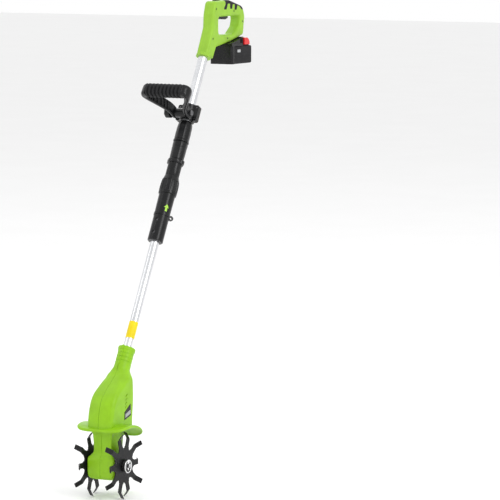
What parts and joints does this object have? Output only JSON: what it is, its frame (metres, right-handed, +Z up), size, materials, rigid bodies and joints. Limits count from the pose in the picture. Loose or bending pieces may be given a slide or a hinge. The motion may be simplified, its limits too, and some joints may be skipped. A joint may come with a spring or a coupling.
{
  "type": "cordless mini cultivator",
  "caption": "Hand-held garden cultivator: two star-shaped tine wheels under a motor head, telescopic pole, front D-handle, rear D-grip with trigger and slide-in battery pack.",
  "frame": {"origin": "on the pole's axis, half way along the bare stretch of the upper tube between the front handle and the rear grip, where the tool is held", "axes": "+Z up, +Y rearwards to the operator, +X to the operator's right hand; the pole leans 28.9 degrees from +Z towards +Y"},
  "size_m": [0.16, 0.8491, 1.34],
  "materials": {
    "green_head": "satin",
    "green_handle": "satin",
    "green_mark": "satin",
    "black_plastic": "satin",
    "black_textured": "fine texture",
    "dark_grip": "matt",
    "clamp_grey": "satin",
    "red_button": "satin",
    "aluminium_tube": "satin anodised",
    "tine_steel": "black, worn edges",
    "bright_steel": "polished",
    "screw_steel": "blackened",
    "shaft_steel": "ground",
    "bronze": "machined",
    "motor_steel": "zinc plated",
    "copper_laminate": "laminated",
    "cell_wrap": "shrink wrap",
    "yellow_label": "printed film",
    "grey_label": "printed film",
    "terminal_copper": "plated"
  },
  "bodies": {
    "upper_pole": {"upper_tube": "aluminium_tube", "end_collar": "black_plastic", "collar_screws": "screw_steel", "hanging_loop": "black_plastic", "lower_sleeve": "black_plastic", "lock_mark": "green_mark", "mid_sleeve": "black_plastic", "window_sleeve": "black_plastic", "top_sleeve": "black_plastic", "handle_left": "green_handle", "handle_right": "green_handle", "handle_collar": "green_handle", "handle_screws": "screw_steel", "grip_overmould": "dark_grip", "trigger_switch": "black_plastic", "battery_dock": "black_plastic", "dock_terminals": "terminal_copper"},
    "twist_collar_body": {"twist_collar": "black_textured"},
    "release_button_body": {"release_button": "black_textured"},
    "lower_pole": {"lower_tube": "aluminium_tube", "pole_label": "yellow_label", "motor_housing_left": "green_head", "motor_housing_right": "green_head", "housing_screws": "screw_steel", "housing_badges": "black_plastic", "motor_can": "motor_steel", "bearings": "shaft_steel", "gear_case_left": "green_head", "gear_case_right": "green_head", "gear_case_screws": "screw_steel", "grease_plug": "green_head", "shaft_bushes": "bronze", "guard": "green_head"},
    "tines": {"tine_shaft": "shaft_steel", "tine_star_left": "tine_steel", "tine_star_right": "tine_steel", "tine_spacers": "shaft_steel", "hub_bosses": "tine_steel", "thrust_washers": "bright_steel", "linch_pins": "bright_steel", "worm_wheel": "bronze"},
    "rotor": {"motor_rotor": "copper_laminate", "worm": "shaft_steel"},
    "ring_left": {"linch_ring_left": "bright_steel"},
    "ring_right": {"linch_ring_right": "bright_steel"},
    "front_clamp": {"clamp_front": "black_plastic", "clamp_rear": "clamp_grey", "clamp_screws": "screw_steel", "pivot_bolt": "screw_steel"},
    "front_handle": {"front_handle_bow": "black_plastic", "front_grip_pad": "dark_grip"},
    "knob": {"clamp_knob": "black_plastic"},
    "trigger_body": {"trigger": "black_plastic"},
    "lock_off": {"lock_off_button": "black_plastic"},
    "battery": {"pack_case_upper": "black_textured", "pack_case_lower": "black_textured", "pack_cells": "cell_wrap", "pack_label": "grey_label"},
    "latch_left_body": {"latch_left": "red_button"},
    "latch_right_body": {"latch_right": "red_button"}
  },
  "joints": [
    {"name": "pole_telescope", "type": "slide", "parent": "upper_pole", "child": "lower_pole", "axis": [0, 0.4833, 0.8755], "range_m": [0, 0.2]},
    {"name": "collar_twist", "type": "hinge", "parent": "upper_pole", "child": "twist_collar_body", "pos_m": [0, -0.15755, -0.2854], "axis": [0, 0.4833, 0.8755], "range_deg": [-60, 0]},
    {"name": "release_press", "type": "slide", "parent": "upper_pole", "child": "release_button_body", "axis": [0, -0.8755, 0.4833], "range_m": [0, 0.0015], "stiffness_N_per_m": 800, "springref_m": -0.001},
    {"name": "tine_spin", "type": "hinge", "parent": "lower_pole", "child": "tines", "pos_m": [0, -0.49736, -1.02138], "axis": [1, 0, 0], "continuous": true},
    {"name": "motor_spin", "type": "hinge", "parent": "lower_pole", "child": "rotor", "pos_m": [0, -0.47486, -1.02138], "axis": [0, 0, 1], "continuous": true},
    {"name": "ring_flip_left", "type": "hinge", "parent": "tines", "child": "ring_left", "pos_m": [-0.0625, -0.49736, -1.00838], "axis": [0, 1, 0], "range_deg": [0, 110]},
    {"name": "ring_flip_right", "type": "hinge", "parent": "tines", "child": "ring_right", "pos_m": [0.0625, -0.49736, -1.00838], "axis": [0, -1, 0], "range_deg": [0, 110]},
    {"name": "front_clamp_slide", "type": "slide", "parent": "upper_pole", "child": "front_clamp", "axis": [0, 0.4833, 0.8755], "range_m": [0, 0.06]},
    {"name": "front_handle_tilt", "type": "hinge", "parent": "front_clamp", "child": "front_handle", "pos_m": [0, -0.08709, -0.08328], "axis": [1, 0, 0], "range_deg": [-55, 55]},
    {"name": "knob_turn", "type": "hinge", "parent": "front_clamp", "child": "knob", "pos_m": [-0.042, -0.08709, -0.08328], "axis": [-1, 0, 0], "range_deg": [-180, 180]},
    {"name": "trigger_pull", "type": "hinge", "parent": "upper_pole", "child": "trigger_body", "pos_m": [0, 0.13321, 0.18641], "axis": [1, 0, 0], "range_deg": [0, 8], "stiffness_Nm_per_rad": 0.4, "springref_deg": -5.73},
    {"name": "lock_off_press", "type": "slide", "parent": "upper_pole", "child": "lock_off", "axis": [0, 0, -1], "range_m": [0, 0.003], "stiffness_N_per_m": 500, "springref_m": -0.002},
    {"name": "battery_slide", "type": "slide", "parent": "upper_pole", "child": "battery", "axis": [0, 1, 0], "range_m": [0, 0.11]},
    {"name": "latch_left_press", "type": "slide", "parent": "battery", "child": "latch_left_body", "axis": [1, 0, 0], "range_m": [0, 0.002], "stiffness_N_per_m": 900, "springref_m": -0.001},
    {"name": "latch_right_press", "type": "slide", "parent": "battery", "child": "latch_right_body", "axis": [-1, 0, 0], "range_m": [0, 0.002], "stiffness_N_per_m": 900, "springref_m": -0.001}
  ],
  "couplings": [
    {"joint": "motor_spin", "follows": "tine_spin", "ratio": -20}
  ]
}
